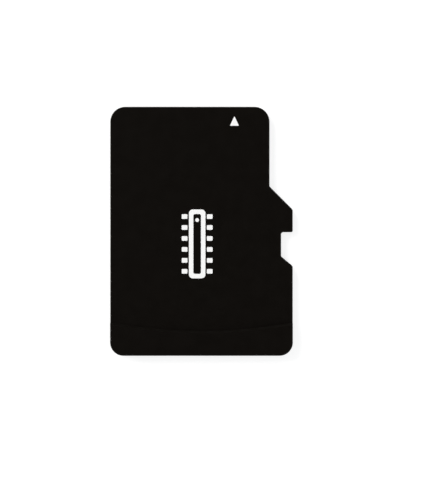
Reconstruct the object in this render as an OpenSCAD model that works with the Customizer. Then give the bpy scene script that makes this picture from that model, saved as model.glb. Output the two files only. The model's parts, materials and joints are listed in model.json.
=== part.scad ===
// Flash memory card of the 11 x 15 mm size: a laminate with gold contacts on its underside,
// stacked dies wired to it, and black compound moulded over them.
// It lies on its contacts. X runs towards the notched edge, Y towards the contact end, Z up.
// All sizes are in millimetres, and the origin is at the middle of the card, on its underside.

/* [Outline] */
// Width from the straight edge to the tab
card_w = 11.0; // [10.8:0.1:12]
// Length from the rear edge to the contact end
card_l = 15.0; // [14.8:0.1:16]
// How much narrower the contact end is than the tab, which the 45 degree shoulder makes up
shoulder_step = 1.4; // [1.2:0.05:1.5]
// Rear edge to where the shoulder meets the tab
shoulder_y = 8.8; // [8.6:0.02:9.2]
// Rear edge to the notch's square side, which the socket's catch pulls on
notch_y = 7.44; // [7.2:0.02:7.8]
// Length of the notch along its floor
notch_l = 1.46; // [1.2:0.02:1.6]
// Depth of the notch below the tab
notch_depth = 0.7; // [0.5:0.05:0.8]
// Length of the notch's ramp, measured along the edge
notch_ramp = 0.58; // [0.4:0.02:0.8]
// Radius of the two corners at the contact end
front_corner_r = 0.9; // [0.6:0.05:1.2]
// Radius of the two rear corners
rear_corner_r = 0.8; // [0.6:0.05:1.2]
// Radius of the tab's corner at the shoulder and of the corner at the ramp's end
tab_corner_r = 0.2; // [0.1:0.05:0.3]
// Radius of the corner at the notch's mouth
notch_mouth_r = 0.09; // [0.08:0.01:0.15]
// Fillet in the bends of the outline
inner_fillet_r = 0.14; // [0.08:0.02:0.2]

/* [Thickness] */
// Thickness of the card
card_t = 0.7; // [0.68:0.02:0.8]
// Thickness over the finger lip at the rear
lip_t = 1.0; // [0.9:0.05:1.2]
// Width of the lip at its middle
lip_w = 1.5; // [1.2:0.1:2]
// Radius of the lip's front face, hollow to suit a finger nail
lip_arc_r = 30; // [25:1:60]
// How far the lip's front face leans back from bottom to top
lip_lean = 0.14; // [0.05:0.01:0.3]
// Chamfer along the upper edges of the moulding
edge_break = 0.05; // [0.02:0.01:0.06]

/* [Substrate] */
// Thickness of the glass laminate core
core_t = 0.1; // [0.08:0.01:0.12]
// Thickness of each copper layer
copper_t = 0.02; // [0.015:0.005:0.03]
// Thickness of solder mask over the copper
mask_t = 0.02; // [0.015:0.005:0.03]

/* [Contacts] */
// Spacing of the contacts
contact_pitch = 1.1; // [1.05:0.01:1.12]
// Width of a contact in its mask window
contact_w = 0.8; // [0.6:0.05:0.85]
// Length of a contact in its mask window
contact_l = 2.9; // [2.4:0.1:3]
// Contact end to the windows of the signal contacts
contact_inset = 1.1; // [1:0.05:1.2]
// How much further forward the supply and ground contacts reach
supply_reach = 0.3; // [0.1:0.05:0.4]
// Corner radius of a mask window
window_r = 0.12; // [0.06:0.02:0.2]
// How far the mask laps over the copper of a contact
mask_lap = 0.05; // [0.03:0.01:0.08]
// Width of the plating line from each contact to the contact end
plating_w = 0.1; // [0.06:0.02:0.16]
// Diameter of a plated hole through the core
via_d = 0.15; // [0.1:0.01:0.2]
// Diameter of the copper land round a plated hole
via_land_d = 0.3; // [0.26:0.02:0.34]
// Contact window to the centre of its plated hole
via_set_back = 0.5; // [0.4:0.05:0.6]
// Diameter of a factory test pad
test_pad_d = 0.6; // [0.4:0.05:0.8]
// Spacing of the rows of test pads
test_row_pitch = 1.4; // [1.1:0.1:1.6]

/* [Bonding] */
// Width of a copper track
track_w = 0.06; // [0.04:0.01:0.07]
// Spacing of the bus tracks where they run side by side, and their distance from the lands
lane_pitch = 0.12; // [0.1:0.01:0.13]
// Width of a bond finger
finger_w = 0.14; // [0.1:0.01:0.16]
// Length of a bond finger
finger_l = 0.25; // [0.2:0.01:0.3]
// Spacing of the bond fingers
finger_pitch = 0.3; // [0.26:0.01:0.32]
// Gap from a die's edge to its bond fingers
finger_gap = 0.3; // [0.25:0.01:0.35]
// Length of the fan of tracks between the plated holes and the controller's fingers
fan_l = 1.0; // [0.95:0.05:1.1]
// Diameter of a bond wire
wire_d = 0.025; // [0.02:0.001:0.03]
// Height of a wire's loop above the line between its ends
wire_rise = 0.1; // [0.08:0.01:0.12]
// Diameter of a wire's bump on its pad
bump_d = 0.07; // [0.06:0.005:0.08]
// Height of a wire's bump
bump_h = 0.03; // [0.026:0.001:0.035]

/* [Dies] */
// Width of a flash die
flash_w = 8.5; // [7.5:0.1:8.6]
// Length of a flash die
flash_l = 7.2; // [6.2:0.1:7.4]
// Thickness of a flash die
flash_t = 0.06; // [0.05:0.005:0.07]
// Thickness of the adhesive film under each die
film_t = 0.02; // [0.015:0.005:0.025]
// How far each flash die is set back from the one below it
flash_shift = 0.3; // [0.22:0.02:0.3]
// Compound left between the flash dies and the straight edge of the card
side_cover = 0.9; // [0.7:0.05:1.1]
// Die edge to the centres of its bond pads
pad_inset = 0.11; // [0.08:0.01:0.14]
// Width of the controller die
controller_w = 3.0; // [2.6:0.1:3.2]
// Length of the controller die
controller_l = 1.6; // [1.4:0.1:1.8]
// Thickness of the controller die
controller_t = 0.1; // [0.08:0.01:0.15]

/* [Capacitors] */
// Length of a capacitor over its terminals
capacitor_l = 0.6; // [0.5:0.05:0.7]
// Width and height of a capacitor
capacitor_w = 0.3; // [0.2:0.02:0.34]
// Length of the metal at each end
terminal_l = 0.15; // [0.1:0.01:0.2]
// Thickness of that metal
terminal_t = 0.02; // [0.015:0.005:0.03]
// Thickness of the solder under a terminal
solder_t = 0.03; // [0.025:0.005:0.04]
// Spacing of the capacitors along their row
capacitor_pitch = 1.9; // [1.4:0.1:2]

/* [Hidden] */
$fn = 48;
contact_count = 8;
flash_count = 4;
capacitor_count = 4;
bus_count = 5;   // bus tracks on each side of the controller
test_rows = 3;
over = 0.02;     // how far a cutting tool runs past the face that it cuts
hair = 0.0002;   // how far an arc stands off the edges that it would only touch

// Edges of the card
left = -card_w / 2;
right = card_w / 2;
rear = -card_l / 2;
front = card_l / 2;
front_right = right - shoulder_step;

// Levels, upwards from the underside
lower_copper_z = mask_t;
core_z = lower_copper_z + copper_t;
upper_copper_z = core_z + core_t;
upper_copper_top = upper_copper_z + copper_t;
die_z = upper_copper_top + mask_t;
flash_level_t = film_t + flash_t;

// Contacts and their plated holes
contacts_x = (left + front_right) / 2;
window_front = front - contact_inset;
window_rear = window_front - contact_l;
via_y = window_rear - via_set_back;
supply_contacts = [4, 6];

// The bus tracks' lanes pass beside the plated holes, then between them and the flash dies' fingers
lands_half_w = (contact_count - 1) / 2 * contact_pitch + via_land_d / 2;
first_lane_y = via_y - via_land_d / 2 - lane_pitch;
last_lane_y = first_lane_y - (bus_count - 1) * lane_pitch;
flash_finger_y = last_lane_y - lane_pitch - finger_l / 2;

// Dies
flash_front = flash_finger_y - finger_l / 2 - finger_gap;
flash_left = left + side_cover;
host_finger_y = via_y + fan_l + finger_l / 2;
controller_y = host_finger_y + finger_l / 2 + finger_gap + controller_l / 2;
side_finger_x = controller_w / 2 + finger_gap + finger_l / 2;
side_pitch = (controller_l - 2 * pad_inset) / (bus_count + 1);
flash_finger_inset = 0.5;

// Capacitors stand in a row between the controller and the contact end
capacitor_y = (controller_y + controller_l / 2 + front) / 2;
capacitor_z = upper_copper_top + solder_t;
ceramic_w = capacitor_w - 2 * terminal_t;
land_margin = 0.03;  // copper round the foot of a terminal
land_size = [terminal_l + 2 * land_margin, capacitor_w + 2 * land_margin];
window_gap = 0.05;   // mask window to the copper inside it

// The outline's corners, anticlockwise, each with its radius
corners = [
    [left, rear, rear_corner_r],
    [right, rear, rear_corner_r],
    [right, rear + notch_y - notch_l - notch_ramp, tab_corner_r],
    [right - notch_depth, rear + notch_y - notch_l, inner_fillet_r],
    [right - notch_depth, rear + notch_y, inner_fillet_r],
    [right, rear + notch_y, notch_mouth_r],
    [right, rear + shoulder_y, tab_corner_r],
    [front_right, rear + shoulder_y + shoulder_step, inner_fillet_r],
    [front_right, front, front_corner_r],
    [left, front, front_corner_r],
];

// Where a rounded corner starts, ends and turns about
function at(i) = corners[(i + len(corners)) % len(corners)];
function flat(c) = [c.x, c.y];
function unit(v) = v / norm(v);
function leftward(v) = [-v.y, v.x];
function way_in(i) = unit(flat(at(i)) - flat(at(i - 1)));
function way_out(i) = way_in(i + 1);
function turning(i) = acos(way_in(i) * way_out(i));
function bulges(i) = leftward(way_in(i)) * way_out(i) > 0;
function run(i) = at(i)[2] * tan(turning(i) / 2);
function arc_start(i) = flat(at(i)) - way_in(i) * run(i);
function arc_end(i) = flat(at(i)) + way_out(i) * run(i);
function arc_centre(i) = arc_start(i) + leftward(way_in(i)) * at(i)[2] * (bulges(i) ? 1 : -1);
function heading(v) = atan2(v.y, v.x);

// What lies between a sharp corner and its arc, with its tip run past the corner.
// The arc is a hair wide of its tangent points, so that it crosses both edges cleanly.
module spandrel(i) {
    tip = flat(at(i)) + over * unit(flat(at(i)) - arc_centre(i));
    difference() {
        polygon(bulges(i) ? [tip, arc_end(i), arc_start(i)] : [tip, arc_start(i), arc_end(i)]);
        translate(arc_centre(i)) circle(r = at(i)[2] + hair);
    }
}

module outline() {
    every = [0 : len(corners) - 1];
    difference() {
        union() {
            polygon([for (c = corners) flat(c)]);
            for (i = every) if (!bulges(i)) spandrel(i);
        }
        for (i = every) if (bulges(i)) spandrel(i);
    }
}

// Section of the chamfer's cutting tool. The wall stands at x = wall, and way points from it into the air.
module chamfer_section(wall, way) {
    reach = edge_break + over;
    polygon([
        [wall - way * reach, over],
        [wall + way * over, over],
        [wall + way * over, -reach],
    ]);
}

// Cutting tool that runs once round the outline at the height top
module chamfer_tool(top) {
    for (i = [0 : len(corners) - 1]) {
        straight = arc_start(i + 1) - arc_end(i);
        translate([arc_start(i + 1).x, arc_start(i + 1).y, top])
            rotate([90, 0, heading(straight) - 90])
            linear_extrude(norm(straight)) chamfer_section(0, 1);
        first = bulges(i) ? heading(way_in(i)) - 90 : heading(way_out(i)) + 90;
        translate([arc_centre(i).x, arc_centre(i).y, top])
            rotate([0, 0, first])
            rotate_extrude(angle = turning(i)) chamfer_section(at(i)[2], bulges(i) ? 1 : -1);
    }
}

// A sheet of the card's outline
module sheet(bottom, top) {
    translate([0, 0, bottom]) linear_extrude(top - bottom) outline();
}

module chamfered_sheet(bottom, top) {
    difference() {
        sheet(bottom, top);
        chamfer_tool(top);
    }
}

// The space that the finger lip keeps to: all that is behind a leaning arc
module lip_zone() {
    arc_y = rear + lip_w + lip_arc_r;
    steep = lip_lean / (lip_t - card_t);
    below = card_t - die_z;
    difference() {
        translate([left - 1, rear - 1, die_z])
            cube([card_w + 2, card_l / 2, lip_t - die_z + 1]);
        translate([0, arc_y, die_z])
            cylinder(h = lip_t - die_z + 2, r1 = lip_arc_r - steep * below,
                     r2 = lip_arc_r + steep * (lip_t - card_t + 2), $fn = 180);
    }
}

// A flat strip along a path, mitred at its bends
function strip_normal(p, i) =
    let (a = i > 0 ? leftward(unit(p[i] - p[i - 1])) : leftward(unit(p[1] - p[0])),
         b = i < len(p) - 1 ? leftward(unit(p[i + 1] - p[i])) : a)
    (a + b) / (1 + a * b);
module strip(p, w) {
    last = len(p) - 1;
    polygon(concat(
        [for (i = [0 : last]) p[i] + strip_normal(p, i) * w / 2],
        [for (i = [last : -1 : 0]) p[i] - strip_normal(p, i) * w / 2]));
}

module upper_copper() {
    translate([0, 0, upper_copper_z]) linear_extrude(copper_t) children();
}

// Contacts. Number 1 is next to the notched edge.
function contact_x(i) = contacts_x + contact_pitch * ((contact_count + 1) / 2 - i);
function reach(i) = len(search(i, supply_contacts)) > 0 ? supply_reach : 0;

module rounded_rectangle(x, y, w, l, r) {
    translate([x, y]) {
        square([w - 2 * r, l], center = true);
        square([w, l - 2 * r], center = true);
        for (sx = [-1, 1], sy = [-1, 1])
            translate([sx * (w / 2 - r), sy * (l / 2 - r)]) circle(r = r);
    }
}

module contact_window(i, lap = 0) {
    l = contact_l + reach(i);
    rounded_rectangle(contact_x(i), window_rear + l / 2,
                      contact_w + 2 * lap, l + 2 * lap, window_r + lap);
}

module contact_copper(i) {
    contact_window(i, mask_lap);
    translate([contact_x(i) - plating_w / 2, window_front]) square([plating_w, contact_inset]);
    translate([contact_x(i) - via_d / 2, via_y]) square([via_d, via_set_back]);
    translate([contact_x(i), via_y]) circle(d = via_land_d);
}

module contact(i) {
    color("gold") translate([0, 0, lower_copper_z]) linear_extrude(copper_t) contact_copper(i);
}

module contact_vias() {
    color("peru")
        for (i = [1 : contact_count])
            translate([contact_x(i), via_y, core_z]) cylinder(d = via_d, h = core_t);
}

module test_pads() {
    color("peru")
        for (i = [1 : contact_count], row = [1 : test_rows])
            translate([contact_x(i), via_y - row * test_row_pitch, lower_copper_z])
                cylinder(d = test_pad_d, h = copper_t);
}

// Substrate
module core_laminate() {
    color("darkolivegreen") difference() {
        sheet(core_z, upper_copper_z);
        contact_vias();
    }
}

module contact_side_mask() {
    color([0.03, 0.03, 0.03]) difference() {
        sheet(0, core_z);
        for (i = [1 : contact_count]) {
            contact(i);
            translate([0, 0, -over]) linear_extrude(mask_t + 2 * over) contact_window(i);
        }
        test_pads();
    }
}

module die_side_mask() {
    color([0.03, 0.03, 0.03]) difference() {
        sheet(upper_copper_z, die_z);
        translate([0, 0, upper_copper_z - over]) linear_extrude(die_z - upper_copper_z + 2 * over)
            mask_windows();
        host_tracks();
        bus_tracks();
    }
}

// Openings in the mask on the die side, for the bond fingers and the capacitors' lands
module mask_windows() {
    row_w = (contact_count - 1) * finger_pitch + finger_w + 2 * window_gap;
    row_l = finger_l + 2 * window_gap;
    group_w = (bus_count - 1) * finger_pitch + finger_w + 2 * window_gap;
    side_l = (bus_count - 1) * side_pitch + finger_w + 2 * window_gap;
    translate([contacts_x, host_finger_y]) square([row_w, row_l], center = true);
    for (side = [-1, 1]) {
        translate([contacts_x + side * side_finger_x, controller_y])
            square([row_l, side_l], center = true);
        translate([(flash_finger_x(side, 0) + flash_finger_x(side, bus_count - 1)) / 2, flash_finger_y])
            square([group_w, row_l], center = true);
    }
    for (i = [1 : capacitor_count], end = [-1, 1])
        translate([land_x(i, end), capacitor_y])
            square(land_size + 2 * [window_gap, window_gap], center = true);
}

// Tracks from the plated holes to the fingers behind the controller
function host_finger_x(i) = contacts_x + finger_pitch * ((contact_count + 1) / 2 - i);
module host_tracks() {
    color("peru") upper_copper()
        for (i = [1 : contact_count]) {
            translate([contact_x(i), via_y]) circle(d = via_land_d);
            strip([[contact_x(i), via_y],
                   [host_finger_x(i), via_y + fan_l - lane_pitch],
                   [host_finger_x(i), host_finger_y]], track_w);
            translate([host_finger_x(i), host_finger_y]) square([finger_w, finger_l], center = true);
        }
}

// Bus tracks nest round the plated holes: the outermost lane ends at the outermost flash finger
function lane_x(side, k) = contacts_x + side * (lands_half_w + (k + 1) * lane_pitch);
function lane_y(k) = first_lane_y - k * lane_pitch;
function side_finger_y(k) = controller_y + (k - (bus_count - 1) / 2) * side_pitch;
function flash_edge(side) = side > 0 ? flash_left + flash_w : flash_left;
function flash_finger_x(side, k) =
    flash_edge(side) - side * (flash_finger_inset + (bus_count - 1 - k) * finger_pitch);
module bus_tracks() {
    color("peru") upper_copper()
        for (side = [-1, 1], k = [0 : bus_count - 1]) {
            x = contacts_x + side * side_finger_x;
            strip([[x, side_finger_y(k)],
                   [lane_x(side, k), side_finger_y(k)],
                   [lane_x(side, k), lane_y(k)],
                   [flash_finger_x(side, k), lane_y(k)],
                   [flash_finger_x(side, k), flash_finger_y]], track_w);
            translate([x, side_finger_y(k)]) square([finger_l, finger_w], center = true);
            translate([flash_finger_x(side, k), flash_finger_y]) square([finger_w, finger_l], center = true);
        }
}

// Dies on their adhesive films, each flash die set back to bare the pads of the one below
function flash_z(i) = die_z + (i - 1) * flash_level_t;
function flash_edge_y(i) = flash_front - (i - 1) * flash_shift;
module flash_slab(i, bottom, t) {
    translate([flash_left, flash_edge_y(i) - flash_l, bottom]) cube([flash_w, flash_l, t]);
}
module flash_die(i) { color("slategray") flash_slab(i, flash_z(i) + film_t, flash_t); }
module flash_film(i) { color("khaki") flash_slab(i, flash_z(i), film_t); }

module controller_slab(bottom, t) {
    translate([contacts_x - controller_w / 2, controller_y - controller_l / 2, bottom])
        cube([controller_w, controller_l, t]);
}
module controller_die() { color("slategray") controller_slab(die_z + film_t, controller_t); }
module controller_film() { color("khaki") controller_slab(die_z, film_t); }

// Bond wires. A bump sits on each pad, and a wire's two ends are buried in two bumps.
module bump(p) { translate(p) cylinder(d = bump_d, h = bump_h); }
module wire(from, to) {
    a = from + [0, 0, bump_h / 2];
    b = to + [0, 0, bump_h / 2];
    level = norm([b.x - a.x, b.y - a.y]);
    chord = norm(b - a);
    loop_r = (chord * chord / 4 + wire_rise * wire_rise) / (2 * wire_rise);
    half = asin(chord / 2 / loop_r);
    translate((a + b) / 2)
        rotate([0, 0, heading(b - a)])
        rotate([0, -atan2(b.z - a.z, level), 0])
        translate([0, 0, wire_rise - loop_r])
        rotate([90, 0, 0])
        rotate([0, 0, 90 - half])
        rotate_extrude(angle = 2 * half)
        translate([loop_r, 0]) circle(d = wire_d);
}

function flash_pad(i, x) = [x, flash_edge_y(i) - pad_inset, flash_z(i) + flash_level_t];
module flash_wires() {
    color("gold")
        for (side = [-1, 1], k = [0 : bus_count - 1]) {
            x = flash_finger_x(side, k);
            stops = concat([[x, flash_finger_y, upper_copper_top]],
                           [for (i = [1 : flash_count]) flash_pad(i, x)]);
            for (s = stops) bump(s);
            for (i = [1 : flash_count]) wire(stops[i], stops[i - 1]);
        }
}

module bonded(from, to) {
    bump(from);
    bump(to);
    wire(from, to);
}
module controller_wires() {
    pad_z = die_z + film_t + controller_t;
    rear_pads = controller_y - controller_l / 2 + pad_inset;
    pad_pitch = min(finger_pitch, (controller_w - 2 * pad_inset) / contact_count);
    color("gold") {
        for (i = [1 : contact_count])
            bonded([contacts_x + pad_pitch * ((contact_count + 1) / 2 - i), rear_pads, pad_z],
                   [host_finger_x(i), host_finger_y, upper_copper_top]);
        for (side = [-1, 1], k = [0 : bus_count - 1])
            bonded([contacts_x + side * (controller_w / 2 - pad_inset), side_finger_y(k), pad_z],
                   [contacts_x + side * side_finger_x, side_finger_y(k), upper_copper_top]);
    }
}

// Capacitors
function capacitor_x(i) = contacts_x + capacitor_pitch * ((capacitor_count + 1) / 2 - i);
function land_x(i, end) = capacitor_x(i) + end * (capacitor_l - terminal_l) / 2;
module capacitor(i) {
    color("tan") translate([capacitor_x(i), capacitor_y, capacitor_z + capacitor_w / 2])
        cube([capacitor_l - 2 * terminal_t, ceramic_w, ceramic_w], center = true);
}
module terminal_block(i, end) {
    translate([land_x(i, end), capacitor_y, capacitor_z + capacitor_w / 2])
        cube([terminal_l, capacitor_w, capacitor_w], center = true);
}
module capacitor_terminals() {
    color("silver")
        for (i = [1 : capacitor_count], end = [-1, 1])
            difference() {
                terminal_block(i, end);
                capacitor(i);
            }
}
module capacitor_lands() {
    color("peru") upper_copper()
        for (i = [1 : capacitor_count], end = [-1, 1])
            translate([land_x(i, end), capacitor_y]) square(land_size, center = true);
}
module solder_joints() {
    color("silver") translate([0, 0, upper_copper_top]) linear_extrude(solder_t)
        for (i = [1 : capacitor_count], end = [-1, 1])
            translate([land_x(i, end), capacitor_y]) square([terminal_l, capacitor_w], center = true);
}

// The compound fills everything above the laminate that the dies, wires and capacitors leave free
module moulded_body() {
    color([0.06, 0.06, 0.055]) difference() {
        union() {
            chamfered_sheet(die_z, card_t);
            intersection() {
                chamfered_sheet(die_z, lip_t);
                lip_zone();
            }
            translate([0, 0, upper_copper_z]) linear_extrude(die_z - upper_copper_z) mask_windows();
        }
        host_tracks();
        bus_tracks();
        capacitor_lands();
        solder_joints();
        for (i = [1 : capacitor_count]) {
            capacitor(i);
            for (end = [-1, 1]) terminal_block(i, end);
        }
        for (i = [1 : flash_count]) flash_slab(i, flash_z(i), flash_level_t);
        controller_slab(die_z, film_t + controller_t);
        flash_wires();
        controller_wires();
    }
}

moulded_body();
core_laminate();
contact_side_mask();
die_side_mask();
for (i = [1 : contact_count])
    contact(i);
contact_vias();
test_pads();
host_tracks();
bus_tracks();
for (i = [1 : flash_count]) {
    flash_die(i);
    flash_film(i);
}
flash_wires();
controller_die();
controller_film();
controller_wires();
for (i = [1 : capacitor_count])
    capacitor(i);
capacitor_terminals();
capacitor_lands();
solder_joints();
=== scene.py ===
import json
import math

import bmesh
import bpy
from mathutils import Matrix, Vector


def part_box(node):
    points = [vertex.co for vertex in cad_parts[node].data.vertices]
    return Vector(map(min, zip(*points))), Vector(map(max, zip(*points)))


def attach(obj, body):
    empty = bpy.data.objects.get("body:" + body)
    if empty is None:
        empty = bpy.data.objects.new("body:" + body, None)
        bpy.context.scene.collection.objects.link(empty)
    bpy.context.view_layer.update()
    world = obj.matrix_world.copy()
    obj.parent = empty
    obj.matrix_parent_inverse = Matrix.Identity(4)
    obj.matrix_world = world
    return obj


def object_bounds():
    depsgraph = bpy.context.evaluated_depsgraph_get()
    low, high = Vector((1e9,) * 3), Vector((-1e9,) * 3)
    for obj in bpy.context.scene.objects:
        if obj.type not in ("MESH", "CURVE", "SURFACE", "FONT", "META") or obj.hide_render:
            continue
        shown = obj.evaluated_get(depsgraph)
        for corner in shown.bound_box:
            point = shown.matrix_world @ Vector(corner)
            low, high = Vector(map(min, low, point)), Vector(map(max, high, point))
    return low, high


# A thumbnail-size flash memory card, lying on its contacts and seen from straight above.
# Everything is in metres in the frame's own axes: +X to the notched edge, +Y to the contact end, +Z up.
# Materials are laid out in millimetres.

mm = 0.001
tiny = 0.0001 * mm   # points closer than this count as one

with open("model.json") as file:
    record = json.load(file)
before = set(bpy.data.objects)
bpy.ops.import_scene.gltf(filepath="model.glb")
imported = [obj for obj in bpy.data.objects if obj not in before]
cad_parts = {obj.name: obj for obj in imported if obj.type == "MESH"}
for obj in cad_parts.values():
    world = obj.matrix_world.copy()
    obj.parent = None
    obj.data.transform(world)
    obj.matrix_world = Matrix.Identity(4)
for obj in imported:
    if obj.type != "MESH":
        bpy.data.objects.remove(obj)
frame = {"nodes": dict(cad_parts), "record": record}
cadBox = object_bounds()
cadLow, cadHigh = cadBox
print("frame loaded:", len(frame["nodes"]), "nodes")


def findLabelHeight():
    # the front half of the moulding has no finger lip, so its highest points are the label side
    body = frame["nodes"]["moulded_body"].data
    middle = (cadLow.y + cadHigh.y) / 2
    return max(v.co.z for v in body.vertices if v.co.y > middle)


labelHeight = findLabelHeight()


# Camera. The picture looks straight down, and the card's middle is a little left of and above its own.
photoView = {
    "imageWidth": 433,
    "imageHeight": 480,
    "pixelsPerMm": 16.59,      # at the height of the label side
    "cardMiddleX": 201.5,
    "cardMiddleY": 231.2,
    "lens": 200.0,
    "sensor": 36.0,            # its width lies along the picture's longer side
    "clip": (0.01, 10.0),
}


def makeCamera(view):
    frameHeight = view["imageHeight"] / view["pixelsPerMm"] * mm
    distance = frameHeight * view["lens"] / view["sensor"]
    offsetX = (view["imageWidth"] / 2 - view["cardMiddleX"]) / view["pixelsPerMm"] * mm
    offsetY = (view["cardMiddleY"] - view["imageHeight"] / 2) / view["pixelsPerMm"] * mm
    data = bpy.data.cameras.new("camera")
    data.lens = view["lens"]
    data.sensor_width = view["sensor"]
    data.clip_start, data.clip_end = view["clip"]
    camera = bpy.data.objects.new("camera", data)
    camera.location = (offsetX, offsetY, labelHeight + distance)
    bpy.context.scene.collection.objects.link(camera)
    bpy.context.scene.camera = camera


makeCamera(photoView)
bpy.context.scene.view_settings.view_transform = "Standard"
print("camera placed")


# Small helpers for node trees. A value may be a number or another node's socket.

def plug(tree, socket, value):
    if isinstance(value, bpy.types.NodeSocket):
        tree.links.new(value, socket)
    else:
        socket.default_value = value


def addNode(tree, kind, inputs=None, **settings):
    node = tree.nodes.new(kind)
    for name, value in settings.items():
        setattr(node, name, value)
    for name, value in (inputs or {}).items():
        plug(tree, node.inputs[name], value)
    return node


def calc(tree, operation, *values):
    node = addNode(tree, "ShaderNodeMath", operation=operation)
    for socket, value in zip(node.inputs, values):
        plug(tree, socket, value)
    return node.outputs["Value"]


def remap(tree, value, fromLow, fromHigh, toLow, toHigh, smooth=False):
    ends = {"Value": value, "From Min": fromLow, "From Max": fromHigh, "To Min": toLow, "To Max": toHigh}
    node = addNode(tree, "ShaderNodeMapRange", ends, interpolation_type="SMOOTHSTEP" if smooth else "LINEAR")
    return node.outputs["Result"]


def mixValue(tree, factor, first, second):
    node = addNode(tree, "ShaderNodeMix", data_type="FLOAT")
    for index, value in zip((0, 2, 3), (factor, first, second)):
        plug(tree, node.inputs[index], value)
    return node.outputs[0]


def mixColour(tree, factor, first, second):
    node = addNode(tree, "ShaderNodeMix", {"Factor": factor}, data_type="RGBA")
    colours = [s for s in node.inputs if s.type == "RGBA"]
    for socket, colour in zip(colours, (first, second)):
        plug(tree, socket, colour if isinstance(colour, bpy.types.NodeSocket) else (*colour, 1.0))
    return [s for s in node.outputs if s.type == "RGBA"][0]


def stretched(tree, coordinates, scale):
    node = addNode(tree, "ShaderNodeVectorMath", operation="MULTIPLY")
    plug(tree, node.inputs[0], coordinates)
    node.inputs[1].default_value = scale
    return node.outputs["Vector"]


def noise(tree, coordinates, scale, detail, roughness):
    node = addNode(tree, "ShaderNodeTexNoise",
                   {"Vector": coordinates, "Scale": scale, "Detail": detail, "Roughness": roughness})
    return node.outputs["Fac"]


noiseMiddle = (0.35, 0.65)   # most of a noise's values lie here
noiseSpread = (0.3, 0.7)     # and nearly all of them here


def twoTone(tree, grain, first, second):
    return mixColour(tree, remap(tree, grain, *noiseMiddle, 0.0, 1.0), first, second)


def varied(tree, grain, ends):
    return remap(tree, grain, *noiseSpread, *ends)


def bump(tree, height, depth, under=None):
    node = addNode(tree, "ShaderNodeBump", {"Strength": 1.0, "Distance": depth * mm, "Height": height})
    if under is not None:
        plug(tree, node.inputs["Normal"], under)
    return node.outputs["Normal"]


def axes(tree, coordinates):
    node = addNode(tree, "ShaderNodeSeparateXYZ", {"Vector": coordinates})
    return node.outputs["X"], node.outputs["Y"], node.outputs["Z"]


def uprightness(tree):
    # 1 on a level face, 0 on a wall
    facing = addNode(tree, "ShaderNodeNewGeometry")
    z = axes(tree, facing.outputs["True Normal"])[2]
    return calc(tree, "ABSOLUTE", z)


def onLevelFaces(tree):
    return calc(tree, "GREATER_THAN", uprightness(tree), 0.5)


def startMaterial(name):
    material = bpy.data.materials.new(name)
    material.use_nodes = True
    tree = material.node_tree
    tree.nodes.clear()
    shader = addNode(tree, "ShaderNodeBsdfPrincipled")
    addNode(tree, "ShaderNodeOutputMaterial", {"Surface": shader.outputs["BSDF"]})
    place = addNode(tree, "ShaderNodeTexCoord")
    inMm = stretched(tree, place.outputs["Object"], (1 / mm,) * 3)
    return material, tree, shader, inMm


# The contacts are evenly spaced, number 8 at the left end of the row and number 1 at the right.
contactCount = 8


def contactX(number):
    low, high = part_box("contact_" + str(number))
    return (low.x + high.x) / 2


contactPitch = (contactX(1) - contactX(contactCount)) / (contactCount - 1)


def nearestOf(tree, value, first, pitch, count):
    # distance from value to the nearest of a row of evenly spaced places
    number = calc(tree, "ROUND", calc(tree, "DIVIDE", calc(tree, "SUBTRACT", value, first), pitch))
    number = calc(tree, "MINIMUM", calc(tree, "MAXIMUM", number, 0.0), float(count - 1))
    place = calc(tree, "MULTIPLY_ADD", number, pitch, first)
    return calc(tree, "ABSOLUTE", calc(tree, "SUBTRACT", value, place))


# The finishes. Lengths are in millimetres, and a grain, a weave or a haze is a noise's scale, detail and
# roughness.

# Moulding compound: black, fine matt on the moulded faces and drier with upright cut marks on the edges
compound = {
    "moulded": (0.0026, 0.0017, 0.0009),
    "mouldedPale": (0.0034, 0.0024, 0.0015),
    "cut": (0.0070, 0.0062, 0.0052),
    "cutPale": (0.0125, 0.0115, 0.0100),
    "steep": (0.30, 0.48),      # uprightness of a face that counts as cut, and of one that counts as moulded
    "fineGrain": (16.0, 2.0, 0.6),
    "coarseGrain": (1.3, 3.0, 0.5),
    "cutStretch": (42.0, 42.0, 2.2),
    "cutGrain": (1.0, 3.0, 0.65),
    "paleMarks": (0.4, 0.7),
    "roughness": (0.38, 0.46),
    "cutRoughness": 0.70,
    "grainDepth": 0.0022,
    "markDepth": 0.0045,
    "specular": 0.105,
}


def makeCompound(v):
    material, tree, shader, inMm = startMaterial("mouldingCompound")
    edge = remap(tree, uprightness(tree), *v["steep"], 1.0, 0.0, smooth=True)
    fine = noise(tree, inMm, *v["fineGrain"])
    coarse = noise(tree, inMm, *v["coarseGrain"])
    marks = noise(tree, stretched(tree, inMm, v["cutStretch"]), *v["cutGrain"])
    top = twoTone(tree, coarse, v["moulded"], v["mouldedPale"])
    side = mixColour(tree, remap(tree, marks, *v["paleMarks"], 0.0, 1.0), v["cut"], v["cutPale"])
    plug(tree, shader.inputs["Base Color"], mixColour(tree, edge, top, side))
    matt = varied(tree, fine, v["roughness"])
    plug(tree, shader.inputs["Roughness"], mixValue(tree, edge, matt, v["cutRoughness"]))
    shader.inputs["Specular IOR Level"].default_value = v["specular"]
    grain = bump(tree, fine, v["grainDepth"])
    cutMarks = calc(tree, "MULTIPLY", marks, edge)
    plug(tree, shader.inputs["Normal"], bump(tree, cutMarks, v["markDepth"], grain))
    return material


# Glass laminate: resin the colour of dark straw over a plain weave of glass, whose bundles show as
# paler dashes on the sawn edges
laminate = {
    "resin": (0.060, 0.052, 0.026),
    "glass": (0.165, 0.150, 0.098),
    "bundlesPerMm": 2.6,
    "bundleWave": (-0.3, 0.9),       # the part of the weave's wave in which resin turns to glass
    "fibreStretch": (1.0, 1.0, 2.5),
    "fibres": (34.0, 2.0, 0.7),
    "leastGlass": 0.2,
    "roughness": (0.45, 0.75),
    "depth": 0.003,
}


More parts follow.
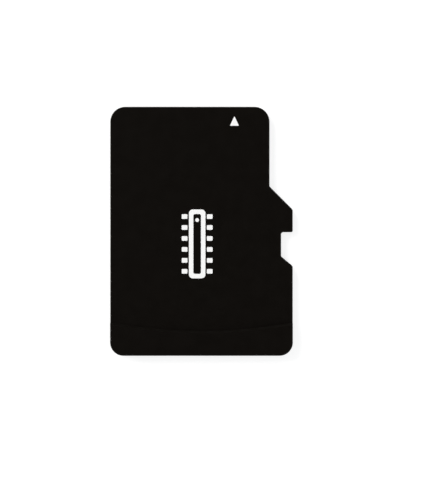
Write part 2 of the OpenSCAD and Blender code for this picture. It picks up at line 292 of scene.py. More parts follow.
def makeLaminate(v):
    material, tree, shader, inMm = startMaterial("glassLaminate")
    x, y, _ = axes(tree, inMm)
    turns = v["bundlesPerMm"] * 2 * math.pi

    def wave(along):
        return calc(tree, "SINE", calc(tree, "MULTIPLY", along, turns))

    dashes = wave(calc(tree, "ADD", x, y))
    woven = calc(tree, "MULTIPLY", wave(x), wave(y))
    shown = calc(tree, "MULTIPLY_ADD", onLevelFaces(tree), calc(tree, "SUBTRACT", woven, dashes), dashes)
    fibres = noise(tree, stretched(tree, inMm, v["fibreStretch"]), *v["fibres"])
    bundle = remap(tree, shown, *v["bundleWave"], 0.0, 1.0, smooth=True)
    glass = calc(tree, "MULTIPLY", bundle, remap(tree, fibres, *noiseMiddle, v["leastGlass"], 1.0))
    plug(tree, shader.inputs["Base Color"], mixColour(tree, glass, v["resin"], v["glass"]))
    plug(tree, shader.inputs["Roughness"], varied(tree, fibres, v["roughness"]))
    plug(tree, shader.inputs["Normal"], bump(tree, fibres, v["depth"]))
    return material


# Solder mask: satin black lacquer, a little browner where it lies over copper
mask = {
    "lacquer": (0.0060, 0.0065, 0.0068),
    "mottle": (0.0068, 0.0073, 0.0076),
    "overCopper": (0.0105, 0.0088, 0.0074),
    "orangePeel": (5.0, 2.0, 0.5),
    "speck": (40.0, 1.0, 0.5),
    "roughness": (0.24, 0.36),
    "peelDepth": 0.0030,
    "speckDepth": 0.0002,
    "specular": 0.45,
}


def makeMask(v, name, tone):
    material, tree, shader, inMm = startMaterial(name)
    peel = noise(tree, inMm, *v["orangePeel"])
    specks = noise(tree, inMm, *v["speck"])
    plug(tree, shader.inputs["Base Color"], twoTone(tree, peel, tone, v["mottle"]))
    plug(tree, shader.inputs["Roughness"], varied(tree, peel, v["roughness"]))
    shader.inputs["Specular IOR Level"].default_value = v["specular"]
    normal = bump(tree, specks, v["speckDepth"], bump(tree, peel, v["peelDepth"]))
    plug(tree, shader.inputs["Normal"], normal)
    return material


# Gold plate on the contacts: hard gold over the laminate's gentle weave. The springs of sockets have
# wiped a narrow track down the middle of each contact, from its front end.
goldPlate = {
    "gold": (0.870, 0.600, 0.235),
    "wiped": (0.960, 0.735, 0.360),
    "weave": (2.4, 1.0, 0.5),
    "wipeStretch": (60.0, 1.6, 60.0),
    "wipes": (1.0, 4.0, 0.6),
    "leastWipe": 0.15,
    "trackHalfWidth": 0.09,
    "trackSoftness": 0.08,
    "trackEnd": 4.6,           # where the springs come to rest
    "endSoftness": 0.1,
    "roughness": (0.17, 0.27),
    "wipedRoughness": 0.36,
    "weaveDepth": 0.0060,
    "wipeDepth": 0.0004,
}


def makeGoldPlate(v):
    material, tree, shader, inMm = startMaterial("goldPlate")
    x, y, _ = axes(tree, inMm)
    wipes = noise(tree, stretched(tree, inMm, v["wipeStretch"]), *v["wipes"])
    weave = noise(tree, inMm, *v["weave"])
    sideways = nearestOf(tree, x, contactX(contactCount) / mm, contactPitch / mm, contactCount)
    trackEdge = v["trackHalfWidth"] + v["trackSoftness"]
    narrow = remap(tree, sideways, v["trackHalfWidth"], trackEdge, 1.0, 0.0, smooth=True)
    ahead = remap(tree, y, v["trackEnd"] - v["endSoftness"], v["trackEnd"] + v["endSoftness"], 0.0, 1.0,
                  smooth=True)
    streak = remap(tree, wipes, *noiseMiddle, v["leastWipe"], 1.0, smooth=True)
    track = calc(tree, "MULTIPLY", calc(tree, "MULTIPLY", narrow, ahead), streak)
    plug(tree, shader.inputs["Base Color"], mixColour(tree, track, v["gold"], v["wiped"]))
    smooth = varied(tree, weave, v["roughness"])
    plug(tree, shader.inputs["Roughness"], mixValue(tree, track, smooth, v["wipedRoughness"]))
    shader.inputs["Metallic"].default_value = 1.0
    crests = bump(tree, weave, v["weaveDepth"])
    scratches = calc(tree, "MULTIPLY", wipes, track)
    plug(tree, shader.inputs["Normal"], bump(tree, scratches, v["wipeDepth"], crests))
    return material


# Plain finishes, each with a grain of its own: three metals, the film under the dies, and the
# capacitors' fired ceramic
grained = {
    "etchedCopper": {"colour": (0.640, 0.300, 0.165), "pale": (0.760, 0.420, 0.270), "metallic": 1.0,
                     "grain": (30.0, 3.0, 0.6), "roughness": (0.35, 0.55), "depth": 0.0012},
    "goldWire": {"colour": (0.860, 0.600, 0.250), "pale": (0.930, 0.700, 0.350), "metallic": 1.0,
                 "grain": (60.0, 3.0, 0.6), "roughness": (0.14, 0.24), "depth": 0.0003},
    "tinPlate": {"colour": (0.560, 0.560, 0.545), "pale": (0.700, 0.700, 0.690), "metallic": 1.0,
                 "grain": (26.0, 3.0, 0.6), "roughness": (0.32, 0.50), "depth": 0.0015},
    "dieFilm": {"colour": (0.300, 0.215, 0.085), "pale": (0.400, 0.305, 0.140), "metallic": 0.0,
                "grain": (6.0, 4.0, 0.6), "roughness": (0.40, 0.55), "depth": 0.0010},
    "firedCeramic": {"colour": (0.270, 0.165, 0.085), "pale": (0.360, 0.240, 0.140), "metallic": 0.0,
                     "grain": (24.0, 4.0, 0.6), "roughness": (0.45, 0.65), "depth": 0.0020},
}


def makeGrained(name):
    v = grained[name]
    material, tree, shader, inMm = startMaterial(name)
    grain = noise(tree, inMm, *v["grain"])
    plug(tree, shader.inputs["Base Color"], twoTone(tree, grain, v["colour"], v["pale"]))
    plug(tree, shader.inputs["Roughness"], varied(tree, grain, v["roughness"]))
    shader.inputs["Metallic"].default_value = v["metallic"]
    plug(tree, shader.inputs["Normal"], bump(tree, grain, v["depth"]))
    return material


# Silicon. Each die has grey flanks, and on top its planes of memory cells, the logic beside them
# and the aluminium pads that its wires are bonded to. The rows of pads follow the ends of the wires.
silicon = {
    "flank": (0.085, 0.088, 0.100),
    "cells": (0.120, 0.095, 0.170),
    "cellLines": (0.165, 0.135, 0.215),
    "lineWave": (0.2, 0.9),
    "logic": (0.150, 0.165, 0.130),
    "logicPale": (0.235, 0.235, 0.190),
    "pads": (0.780, 0.780, 0.770),
    "linesPerMm": 16.0,
    "logicBlock": (0.17, 0.08),
    "logicGap": 0.006,
    "street": 0.05,            # the bare strip round a plane
    "padHalf": 0.045,
    "padInset": 0.11,
    "haze": (0.6, 2.0, 0.5),
    "roughness": (0.16, 0.34),
    "metallic": 0.7,
    "depth": 0.0008,
}
flashDie = {"planes": 2, "logicLength": 0.95, "padRow": {"first": 0.5, "pitch": 0.3, "count": 5}}
controllerDie = {"planes": 3, "logicLength": 1.05, "padRow": {"first": -1.05, "pitch": 0.3, "count": 8},
                 "sideRow": {"first": -0.46, "pitch": 0.23, "count": 5}}


def bondPads(tree, along, inwards, row, v):
    spaced = nearestOf(tree, along, row["first"], row["pitch"], row["count"])
    level = calc(tree, "ABSOLUTE", calc(tree, "SUBTRACT", inwards, v["padInset"]))
    return calc(tree, "MULTIPLY", calc(tree, "LESS_THAN", spaced, v["padHalf"]),
                calc(tree, "LESS_THAN", level, v["padHalf"]))


def makeSilicon(node, v, die):
    material, tree, shader, inMm = startMaterial(node + "_silicon")
    low, high = (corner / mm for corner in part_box(node))
    size, middle = high - low, (low + high) / 2
    x, y, _ = axes(tree, inMm)
    fromLeft = calc(tree, "SUBTRACT", x, low.x)
    fromSide = calc(tree, "MINIMUM", fromLeft, calc(tree, "SUBTRACT", high.x, x))
    fromRear = calc(tree, "SUBTRACT", y, low.y)
    fromFront = calc(tree, "SUBTRACT", high.y, y)

    planeWidth = size.x / die["planes"]
    place = calc(tree, "FRACT", calc(tree, "DIVIDE", fromLeft, planeWidth))
    offMiddle = calc(tree, "MULTIPLY", calc(tree, "ABSOLUTE", calc(tree, "SUBTRACT", place, 0.5)), planeWidth)
    inWidth = calc(tree, "LESS_THAN", offMiddle, planeWidth / 2 - v["street"])
    inLength = calc(tree, "MULTIPLY", calc(tree, "GREATER_THAN", fromFront, die["logicLength"]),
                    calc(tree, "GREATER_THAN", fromRear, v["street"]))
    plane = calc(tree, "MULTIPLY", inWidth, inLength)
    lines = calc(tree, "SINE", calc(tree, "MULTIPLY", x, v["linesPerMm"] * 2 * math.pi))
    cells = mixColour(tree, remap(tree, lines, *v["lineWave"], 0.0, 1.0), v["cells"], v["cellLines"])
    blocks = addNode(tree, "ShaderNodeTexBrick",
                     {"Vector": inMm, "Scale": 1.0, "Brick Width": v["logicBlock"][0],
                      "Row Height": v["logicBlock"][1], "Mortar Size": v["logicGap"],
                      "Color1": (*v["logic"], 1.0), "Color2": (*v["logicPale"], 1.0),
                      "Mortar": (*v["cells"], 1.0)})

    if "sideRow" in die:
        across = calc(tree, "SUBTRACT", x, middle.x)
        along = calc(tree, "SUBTRACT", y, middle.y)
        pads = calc(tree, "MAXIMUM", bondPads(tree, across, fromRear, die["padRow"], v),
                    bondPads(tree, along, fromSide, die["sideRow"], v))
    else:
        pads = bondPads(tree, fromSide, fromFront, die["padRow"], v)
    circuits = mixColour(tree, pads, mixColour(tree, plane, blocks.outputs["Color"], cells), v["pads"])
    plug(tree, shader.inputs["Base Color"], mixColour(tree, onLevelFaces(tree), v["flank"], circuits))
    haze = noise(tree, inMm, *v["haze"])
    plug(tree, shader.inputs["Roughness"], varied(tree, haze, v["roughness"]))
    shader.inputs["Metallic"].default_value = v["metallic"]
    relief = calc(tree, "MAXIMUM", plane, pads)
    plug(tree, shader.inputs["Normal"], bump(tree, relief, v["depth"]))
    return material


# White ink, with the faint grain that the moulding gives it
whiteInk = {
    "white": (0.940, 0.940, 0.940),
    "thin": (0.880, 0.880, 0.885),
    "grain": (14.0, 3.0, 0.6),
    "thinWhere": (0.58, 0.75),
    "roughness": (0.55, 0.70),
    "depth": 0.0015,
    "specular": 0.3,
}


def makeWhiteInk(v):
    material, tree, shader, inMm = startMaterial("whiteInk")
    grain = noise(tree, inMm, *v["grain"])
    thin = remap(tree, grain, *v["thinWhere"], 0.0, 1.0, smooth=True)
    plug(tree, shader.inputs["Base Color"], mixColour(tree, thin, v["white"], v["thin"]))
    plug(tree, shader.inputs["Roughness"], varied(tree, grain, v["roughness"]))
    shader.inputs["Specular IOR Level"].default_value = v["specular"]
    plug(tree, shader.inputs["Normal"], bump(tree, grain, v["depth"]))
    return material


# one finish for each of the record's material slots but silicon
finishes = {
    "moulding": makeCompound(compound),
    "laminate": makeLaminate(laminate),
    "gold_plate": makeGoldPlate(goldPlate),
    "copper": makeGrained("etchedCopper"),
    "gold_wire": makeGrained("goldWire"),
    "tin": makeGrained("tinPlate"),
    "die_film": makeGrained("dieFilm"),
    "capacitor_ceramic": makeGrained("firedCeramic"),
    "solder_mask": makeMask(mask, "solderMask", mask["lacquer"]),
    "white_ink": makeWhiteInk(whiteInk),
}
# a die's pattern follows its own place
dieFinishes = {"controller_die": makeSilicon("controller_die", silicon, controllerDie)}
for node in frame["nodes"]:
    if node.startswith("flash_die"):
        dieFinishes[node] = makeSilicon(node, silicon, flashDie)


def dressNodes():
    slots = {part["node"]: part["material_slot"] for part in frame["record"]["subparts"]}
    for name, node in frame["nodes"].items():
        finish = dieFinishes.get(name) or finishes[slots[name]]
        node.data.materials.clear()
        node.data.materials.append(finish)


dressNodes()
print("finishes made and given to the nodes")


def addPiece(name, mesh, material):
    piece = bpy.data.objects.new(name, mesh)
    bpy.context.scene.collection.objects.link(piece)
    if not mesh.materials:
        mesh.materials.append(material)
    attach(piece, "root")


# Print on the label side: an arrow head that shows which end goes in
arrow = {
    "x": 1.984 * mm,          # its axis
    "tipY": 6.945 * mm,
    "width": 0.545 * mm,
    "height": 0.590 * mm,
    "corner": 0.030 * mm,
    "cornerSteps": 5,
    "ink": 0.012 * mm,
    "edge": 0.003 * mm,
}


def roundedOutline(points, radius, steps):
    # swaps each corner of a convex outline, given anticlockwise, for an arc
    outline = []
    count = len(points)
    for i, corner in enumerate(points):
        before = (points[i - 1] - corner).normalized()
        after = (points[(i + 1) % count] - corner).normalized()
        half = before.angle(after) / 2
        centre = corner + (before + after).normalized() * radius / math.sin(half)
        first = corner + before * radius / math.tan(half) - centre
        last = corner + after * radius / math.tan(half) - centre
        startAngle = math.atan2(first.y, first.x)
        sweep = (math.atan2(last.y, last.x) - startAngle) % (2 * math.pi)
        for k in range(steps + 1):
            turn = startAngle + sweep * k / steps
            outline.append(centre + radius * Vector((math.cos(turn), math.sin(turn))))
    return outline


def softenEdges(mesh, width):
    # a narrow bevel round the top of the ink
    work = bmesh.new()
    work.from_mesh(mesh)
    top = max(v.co.z for v in work.verts)
    rim = [e for e in work.edges
           if all(abs(v.co.z - top) < tiny for v in e.verts)
           and any(abs(f.normal.z) < 0.5 for f in e.link_faces)]
    bmesh.ops.bevel(work, geom=rim, offset=width, offset_type="OFFSET", segments=2,
                    profile=0.5, affect="EDGES", clamp_overlap=True, material=-1)
    bmesh.ops.recalc_face_normals(work, faces=work.faces)
    work.to_mesh(mesh)
    work.free()


def makeArrow(v):
    tip = Vector((v["x"], v["tipY"]))
    foot = v["tipY"] - v["height"]
    points = [tip, Vector((v["x"] - v["width"] / 2, foot)), Vector((v["x"] + v["width"] / 2, foot))]
    outline = roundedOutline(points, v["corner"], v["cornerSteps"])
    work = bmesh.new()
    lower = [work.verts.new((p.x, p.y, labelHeight)) for p in outline]
    upper = [work.verts.new((p.x, p.y, labelHeight + v["ink"])) for p in outline]
    work.faces.new(list(reversed(lower)))
    work.faces.new(upper)
    for i in range(len(outline)):
        j = (i + 1) % len(outline)
        work.faces.new((lower[i], lower[j], upper[j], upper[i]))
    bmesh.ops.recalc_face_normals(work, faces=work.faces)
    mesh = bpy.data.meshes.new("arrowPrint")
    work.to_mesh(mesh)
    work.free()
    softenEdges(mesh, v["edge"])
    addPiece("arrowPrint", mesh, finishes["white_ink"])


makeArrow(arrow)
print("arrow printed at height", round(labelHeight / mm, 3), "mm")


# Helpers for pieces that Geometry Nodes make

def startTree(name, numbers, counts):
    # the first input is the mesh that the tree starts from, and the others are its sizes
    tree = bpy.data.node_groups.new(name, "GeometryNodeTree")
    face = tree.interface
    face.new_socket(name="Geometry", in_out="OUTPUT", socket_type="NodeSocketGeometry")
    face.new_socket(name="Geometry", in_out="INPUT", socket_type="NodeSocketGeometry")
    for title in numbers:
        face.new_socket(name=title, in_out="INPUT", socket_type="NodeSocketFloat")
    for title in counts:
        face.new_socket(name=title, in_out="INPUT", socket_type="NodeSocketInt")
    return tree, addNode(tree, "NodeGroupInput").outputs


def vector(tree, x=0.0, y=0.0, z=0.0):
    return addNode(tree, "ShaderNodeCombineXYZ", {"X": x, "Y": y, "Z": z}).outputs["Vector"]


def joined(tree, *pieces):
    whole = addNode(tree, "GeometryNodeJoinGeometry")
    for piece in pieces:
        tree.links.new(piece, whole.inputs["Geometry"])
    return whole.outputs["Geometry"]


def moved(tree, piece, place):
    node = addNode(tree, "GeometryNodeTransform", {"Geometry": piece, "Translation": place})
    return node.outputs["Geometry"]


def endTree(tree, whole, material):
    realize = addNode(tree, "GeometryNodeRealizeInstances", {"Geometry": whole})
    flat = addNode(tree, "GeometryNodeSetShadeSmooth",
                   {"Geometry": realize.outputs["Geometry"], "Shade Smooth": False})
    paint = addNode(tree, "GeometryNodeSetMaterial",
                    {"Geometry": flat.outputs["Geometry"], "Material": material})
    addNode(tree, "NodeGroupOutput", {"Geometry": paint.outputs["Geometry"]})


def grown(name, tree, sizes, start):
    # runs a tree on a start mesh and gives the plain mesh that it makes
    carrier = bpy.data.objects.new(name + "Carrier", start)
    bpy.context.scene.collection.objects.link(carrier)
    modifier = carrier.modifiers.new(name, "NODES")
    modifier.node_group = tree
    for socket in tree.interface.items_tree:
        if socket.in_out == "INPUT" and socket.name in sizes:
            modifier[socket.identifier] = sizes[socket.name]
    ready = carrier.evaluated_get(bpy.context.evaluated_depsgraph_get())
    mesh = bpy.data.meshes.new_from_object(ready)
    mesh.name = name
    if mesh.materials[0] is None:      # the empty place of the start mesh's own material
        mesh.materials.pop(index=0)
    bpy.data.objects.remove(carrier)
    return mesh


# Print in the middle: a plain sign of a chip, a frame with a row of legs on each side and a dot
chipSign = {
    "x": -0.262 * mm,         # its middle
    "y": -0.767 * mm,
    "edge": 0.003 * mm,
    "numbers": {
        "Length": 4.150 * mm,
        "Body width": 1.000 * mm,
        "Stroke": 0.270 * mm,
        "Corner": 0.240 * mm,
        "Inner corner": 0.108 * mm,
        "Leg pitch": 0.660 * mm,
        "Leg length": 0.345 * mm,
        "Leg width": 0.280 * mm,
        "Leg corner": 0.050 * mm,
        "Leg gap": 0.085 * mm,
        "Dot radius": 0.115 * mm,
        "Dot from end": 0.6345 * mm,
        "Ink height": 0.012 * mm,
    },
    "counts": {"Legs": 6, "Corner steps": 6, "Dot sides": 28},
}


def makeSignTree(numbers, counts, material):
    tree, given = startTree("chipSignTree", numbers, counts)

    def roundedRectangle(width, height, radius):
        shape = addNode(tree, "GeometryNodeCurvePrimitiveQuadrilateral", {"Width": width, "Height": height})
        fillet = addNode(tree, "GeometryNodeFilletCurve",
                         {"Curve": shape.outputs["Curve"], "Count": given["Corner steps"], "Radius": radius},
                         mode="POLY")
        return fillet.outputs["Curve"]

    def raised(*curves):
        # a closed slab: the filled curves turned over, and their copy lifted with its walls
        flat = addNode(tree, "GeometryNodeFillCurve", {"Curve": joined(tree, *curves)}).outputs["Mesh"]
        lift = addNode(tree, "GeometryNodeExtrudeMesh",
                       {"Mesh": flat, "Offset": vector(tree, z=1.0), "Offset Scale": given["Ink height"],
                        "Individual": False})
        under = addNode(tree, "GeometryNodeFlipFaces", {"Mesh": flat})
        both = joined(tree, lift.outputs["Mesh"], under.outputs["Mesh"])
        weld = addNode(tree, "GeometryNodeMergeByDistance", {"Geometry": both, "Distance": tiny})
        return weld.outputs["Geometry"]

    twoStrokes = calc(tree, "MULTIPLY", given["Stroke"], 2.0)
    outer = roundedRectangle(given["Body width"], given["Length"], given["Corner"])
    hole = roundedRectangle(calc(tree, "SUBTRACT", given["Body width"], twoStrokes),
                            calc(tree, "SUBTRACT", given["Length"], twoStrokes), given["Inner corner"])

    dot = addNode(tree, "GeometryNodeCurvePrimitiveCircle",
                  {"Resolution": given["Dot sides"], "Radius": given["Dot radius"]})
    dotY = calc(tree, "SUBTRACT", calc(tree, "DIVIDE", given["Length"], 2.0), given["Dot from end"])

    # the legs: one slab on each point of a line, and the line once on each side
    leg = raised(roundedRectangle(given["Leg length"], given["Leg width"], given["Leg corner"]))
    out = calc(tree, "ADD", calc(tree, "DIVIDE", given["Body width"], 2.0),
               calc(tree, "ADD", given["Leg gap"], calc(tree, "DIVIDE", given["Leg length"], 2.0)))
    span = calc(tree, "MULTIPLY", calc(tree, "SUBTRACT", given["Legs"], 1.0), given["Leg pitch"])
    rows = []
    for side in (-1.0, 1.0):
        start = vector(tree, calc(tree, "MULTIPLY", out, side), calc(tree, "DIVIDE", span, -2.0))
        line = addNode(tree, "GeometryNodeMeshLine",
                       {"Count": given["Legs"], "Start Location": start,
                        "Offset": vector(tree, y=given["Leg pitch"])})
        rows.append(line.outputs["Mesh"])
    legs = addNode(tree, "GeometryNodeInstanceOnPoints", {"Points": joined(tree, *rows), "Instance": leg})

    frameSlab = raised(outer, hole)
    dotSlab = moved(tree, raised(dot.outputs["Curve"]), vector(tree, y=dotY))
    endTree(tree, joined(tree, frameSlab, dotSlab, legs.outputs["Instances"]), material)
    return tree


def makeChipSign(v):
    tree = makeSignTree(v["numbers"], v["counts"], finishes["white_ink"])
    mesh = grown("chipSignPrint", tree, {**v["numbers"], **v["counts"]}, bpy.data.meshes.new("chipSignStart"))
    for vertex in mesh.vertices:
        vertex.co += Vector((v["x"], v["y"], labelHeight))
    softenEdges(mesh, v["edge"])
    addPiece("chipSignPrint", mesh, finishes["white_ink"])


makeChipSign(chipSign)
print("chip sign printed")


# Contact side: the lacquer rises over the copper beneath it, which is the test pads, the lands of the
# plated holes, their stubs to the contacts, and the plating lines to the contact end.
lacquerRises = {
    "testRows": 3,
    "letIn": 0.002 * mm,          # how deep a rise is let into the mask
    "edgeMargin": 0.3 * mm,       # the card's own front edge is kept out of the search for windows
    "numbers": {
        "Rise": 0.008 * mm,
        "Slope": 0.030 * mm,      # width of a line's sloping sides
        "Slope share": 0.12,      # the same on a round rise, as a share of its radius
        "Line rise": 0.9,         # a line's height as a share of a pad's
    },
    "counts": {"Sides": 40},
}


def copperPlaces(v):
    # round copper as (place, radius), and lines as (start, end, is a stub)
    vias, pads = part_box("contact_vias"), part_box("test_pads")
    viaY = (vias[0].y + vias[1].y) / 2
    padRadius = (pads[1].x - pads[0].x - (contactCount - 1) * contactPitch) / 2
    rowPitch = (pads[1].y - pads[0].y - 2 * padRadius) / (v["testRows"] - 1)
    underside = [c.co for c in frame["nodes"]["contact_side_mask"].data.vertices if c.co.z < v["letIn"]]
    discs, lines = [], []
    for number in range(1, contactCount + 1):
        low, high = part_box("contact_" + str(number))
        x = contactX(number)
        farthest = high.y - v["edgeMargin"]
        window = [p.y for p in underside if low.x < p.x < high.x and viaY < p.y < farthest]
        discs.append(((x, viaY), viaY - low.y))
        for row in range(v["testRows"]):
            discs.append(((x, pads[0].y + padRadius + row * rowPitch), padRadius))
        lines.append(((x, max(window)), (x, high.y), False))
        lines.append(((x, viaY), (x, min(window)), True))
    return discs, lines


def lineWidths():
    # a plating line is as wide as a contact at the card's front edge, and a stub as its plated hole
    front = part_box("contact_1")[1].y
    ends = [c.co.x for c in frame["nodes"]["contact_1"].data.vertices if abs(c.co.y - front) < tiny]
    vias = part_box("contact_vias")
    return {"Line width": max(ends) - min(ends), "Stub width": vias[1].y - vias[0].y}


def makeRiseTree(numbers, counts, material):
    tree, given = startTree("lacquerRiseTree", numbers, counts)

    def carried(name, kind):
        node = addNode(tree, "GeometryNodeInputNamedAttribute", {"Name": name}, data_type=kind)
        return node.outputs["Attribute"]

    def chosen(source, selection, domain):
        node = addNode(tree, "GeometryNodeSeparateGeometry", {"Geometry": source, "Selection": selection},
                       domain=domain)
        return node.outputs["Selection"], node.outputs["Inverted"]

    height = calc(tree, "ADD", given["Rise"], given["Let in"])
    radius = carried("radius", "FLOAT")
    places, lines = chosen(given["Geometry"], calc(tree, "GREATER_THAN", radius, 0.0), "POINT")

    # a low frustum, wide where it meets the mask, set on each round place and scaled to its radius
    disc = addNode(tree, "GeometryNodeMeshCone",
                   {"Vertices": given["Sides"], "Radius Bottom": 1.0,
                    "Radius Top": calc(tree, "ADD", 1.0, given["Slope share"]), "Depth": height})
    discs = addNode(tree, "GeometryNodeInstanceOnPoints",
                    {"Points": places, "Instance": disc.outputs["Mesh"],
                     "Scale": vector(tree, radius, radius, 1.0)})

    # a bar of the same section along each line
    lineHeight = calc(tree, "ADD", calc(tree, "MULTIPLY", given["Rise"], given["Line rise"]), given["Let in"])
    lift = vector(tree, z=calc(tree, "SUBTRACT", height, calc(tree, "DIVIDE", lineHeight, 2.0)))
    stubs, plating = chosen(lines, carried("stub", "BOOLEAN"), "EDGE")
    bars = []
    for paths, width in ((stubs, given["Stub width"]), (plating, given["Line width"])):
        path = addNode(tree, "GeometryNodeMeshToCurve", {"Mesh": paths})
        wide = calc(tree, "ADD", width, calc(tree, "MULTIPLY", given["Slope"], 2.0))
        section = addNode(tree, "GeometryNodeCurvePrimitiveQuadrilateral",
                          {"Height": lineHeight, "Bottom Width": wide, "Top Width": width, "Offset": 0.0},
                          mode="TRAPEZOID")
        bar = addNode(tree, "GeometryNodeCurveToMesh",
                      {"Curve": path.outputs["Curve"], "Profile Curve": section.outputs["Curve"],
                       "Fill Caps": True})
        bars.append(moved(tree, bar.outputs["Mesh"], lift))
    endTree(tree, joined(tree, discs.outputs["Instances"], *bars), material)
    return tree


def makeLacquerRises(v):
    discs, lines = copperPlaces(v)
    level = cadLow.z - v["numbers"]["Rise"]
    points = [place for place, radius in discs] + [end for line in lines for end in line[:2]]
    edges = [(len(discs) + 2 * k, len(discs) + 2 * k + 1) for k in range(len(lines))]
    radii = [radius for place, radius in discs] + [0.0] * (2 * len(lines))
    start = bpy.data.meshes.new("lacquerRiseStart")
    start.from_pydata([(x, y, level) for x, y in points], edges, [])
    start.attributes.new("radius", "FLOAT", "POINT").data.foreach_set("value", radii)
    start.attributes.new("stub", "BOOLEAN", "EDGE").data.foreach_set("value", [line[2] for line in lines])
    lacquer = makeMask(mask, "lacquerOverCopper", mask["overCopper"])
    numbers = {**v["numbers"], **lineWidths(), "Let in": v["letIn"]}
    tree = makeRiseTree(numbers, v["counts"], lacquer)
    mesh = grown("lacquerRises", tree, {**numbers, **v["counts"]}, start)
    addPiece("lacquerRises", mesh, lacquer)


makeLacquerRises(lacquerRises)
print("lacquer raised over the copper")


# Floor: a wide pale sheet, open where the card stands on it, so that the card can be looked at from below too
floor = {
    "half": 0.35,
    "below": 0.010 * mm,      # under the lacquer's rises
    "openingInset": 0.03 * mm,
    "diffuse": (0.55, 0.55, 0.55),
    "glow": 0.66,
}


def footprint():
    # the outermost loop of the contact side's lowest faces, in order
    work = bmesh.new()
    work.from_mesh(frame["nodes"]["contact_side_mask"].data)
    bmesh.ops.remove_doubles(work, verts=work.verts, dist=tiny)
    base = min(v.co.z for v in work.verts)
    links = {}
    for edge in work.edges:
        flat = [f for f in edge.link_faces if all(abs(v.co.z - base) < tiny for v in f.verts)]
        if len(flat) == 1:
            a, b = edge.verts
            links.setdefault(a, []).append(b)
            links.setdefault(b, []).append(a)
    start = min(links, key=lambda v: v.co.x)
    loop, before, here = [start], None, start
    while True:
        ahead = [v for v in links[here] if v is not before][0]
        if ahead is start:
            break
        loop.append(ahead)
        before, here = here, ahead
    points = [v.co.xy.copy() for v in loop]
    work.free()
    return points


def insetLoop(points, inset):
    count = len(points)
    area = sum(points[i - 1].x * points[i].y - points[i].x * points[i - 1].y for i in range(count)) / 2
    side = 1.0 if area > 0 else -1.0
    shrunk = []
    for i, point in enumerate(points):
        along = (points[(i + 1) % count] - points[i - 1]).normalized()
        shrunk.append(point + side * inset * Vector((-along.y, along.x)))
    return shrunk


def makeFloorMaterial(v):
    # pale to lamps and white to the camera and in mirrors, and clear from its back
    material = bpy.data.materials.new("paleFloor")
    material.use_nodes = True
    tree = material.node_tree
    tree.nodes.clear()
    diffuse = addNode(tree, "ShaderNodeBsdfDiffuse", {"Color": (*v["diffuse"], 1.0)}).outputs["BSDF"]
    glow = addNode(tree, "ShaderNodeEmission", {"Strength": v["glow"]}).outputs["Emission"]
    path = addNode(tree, "ShaderNodeLightPath").outputs
    looked = calc(tree, "MAXIMUM", path["Is Camera Ray"],
                  calc(tree, "MAXIMUM", path["Is Glossy Ray"], path["Is Transmission Ray"]))
    clear = addNode(tree, "ShaderNodeBsdfTransparent").outputs["BSDF"]
    seen = addNode(tree, "ShaderNodeAddShader")
    lit = addNode(tree, "ShaderNodeMixShader")
    sided = addNode(tree, "ShaderNodeMixShader")
    back = addNode(tree, "ShaderNodeNewGeometry").outputs["Backfacing"]
    for node, sources in ((seen, (diffuse, glow)), (lit, (looked, diffuse, seen.outputs["Shader"])),
                          (sided, (back, lit.outputs["Shader"], clear))):
        for socket, source in zip(node.inputs, sources):
            plug(tree, socket, source)
    addNode(tree, "ShaderNodeOutputMaterial", {"Surface": sided.outputs["Shader"]})
    return material


def makeFloor(v):
    half = v["half"]
    rim = [Vector(corner) for corner in ((-half, -half), (half, -half), (half, half), (-half, half))]
    level = cadLow.z - v["below"]
    work = bmesh.new()
    for ring in (rim, insetLoop(footprint(), v["openingInset"])):
        corners = [work.verts.new((p.x, p.y, level)) for p in ring]
        for i in range(len(corners)):
            work.edges.new((corners[i - 1], corners[i]))
    bmesh.ops.triangle_fill(work, edges=work.edges, use_beauty=True, use_dissolve=False, normal=(0, 0, 1))
    for face in work.faces:
        if face.normal.z < 0:
            face.normal_flip()
    mesh = bpy.data.meshes.new("floor")
    work.to_mesh(mesh)
    work.free()
    mesh.materials.append(makeFloorMaterial(v))
    sheet = bpy.data.objects.new("floor", mesh)
    bpy.context.scene.collection.objects.link(sheet)


makeFloor(floor)
print("floor laid")


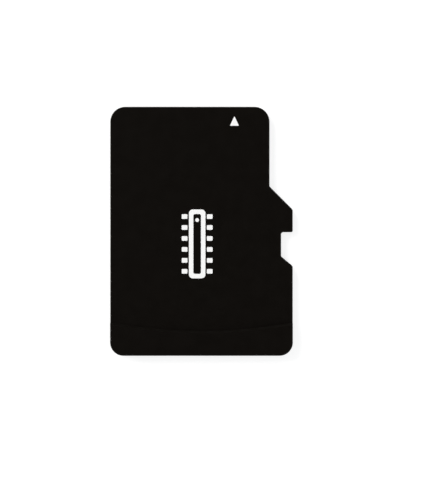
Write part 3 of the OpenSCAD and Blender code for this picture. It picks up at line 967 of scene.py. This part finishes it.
# Light: an even pale room and two large soft lamps
room = {
    "above": 0.34,
    "belowFloor": 0.80,
    "horizonBand": (-0.02, 0.02),
    "seen": 1.0,
    "glossyHorizon": 0.80,
    "glossyZenith": 0.08,
    "glossyBand": (0.15, 0.80),    # heights of the sky between which it dims to the zenith
    "belowDim": 0.30,              # what shiny undersides mirror runs from dim at the rear left
    "belowBright": 1.25,           # to bright at the front right
    "belowSlant": 0.6,             # how much the way there turns from the right to the front
    "belowBand": (-0.7, 0.9),
}
lamps = {
    "key": {"place": (-0.19, 0.15, 0.16), "size": 0.28, "power": 0.80, "colour": (1.0, 0.985, 0.96)},
    "fill": {"place": (0.21, -0.11, 0.14), "size": 0.28, "power": 0.45, "colour": (0.96, 0.98, 1.0)},
}


def makeRoom(v):
    world = bpy.data.worlds.new("room")
    bpy.context.scene.world = world
    world.use_nodes = True
    tree = world.node_tree
    tree.nodes.clear()
    x, y, z = axes(tree, addNode(tree, "ShaderNodeTexCoord").outputs["Generated"])
    path = addNode(tree, "ShaderNodeLightPath").outputs
    spread = remap(tree, z, *v["horizonBand"], v["belowFloor"], v["above"])
    above = remap(tree, z, *v["glossyBand"], v["glossyHorizon"], v["glossyZenith"], smooth=True)
    across = calc(tree, "MULTIPLY_ADD", y, v["belowSlant"], x)
    below = remap(tree, across, *v["belowBand"], v["belowDim"], v["belowBright"], smooth=True)
    mirrored = mixValue(tree, calc(tree, "LESS_THAN", z, 0.0), above, below)
    lit = mixValue(tree, path["Is Glossy Ray"], spread, mirrored)
    strength = mixValue(tree, path["Is Camera Ray"], lit, v["seen"])
    background = addNode(tree, "ShaderNodeBackground", {"Color": (1.0, 1.0, 1.0, 1.0), "Strength": strength})
    addNode(tree, "ShaderNodeOutputWorld", {"Surface": background.outputs["Background"]})


def makeLamps(v):
    for name, lamp in v.items():
        data = bpy.data.lights.new(name, "AREA")
        data.shape = "DISK"
        data.size = lamp["size"]
        data.energy = lamp["power"]
        data.color = lamp["colour"]
        light = bpy.data.objects.new(name, data)
        light.location = lamp["place"]
        light.rotation_mode = "QUATERNION"
        light.rotation_quaternion = Vector(lamp["place"]).to_track_quat("Z", "Y")
        bpy.context.scene.collection.objects.link(light)


makeRoom(room)
makeLamps(lamps)
print("room lit")
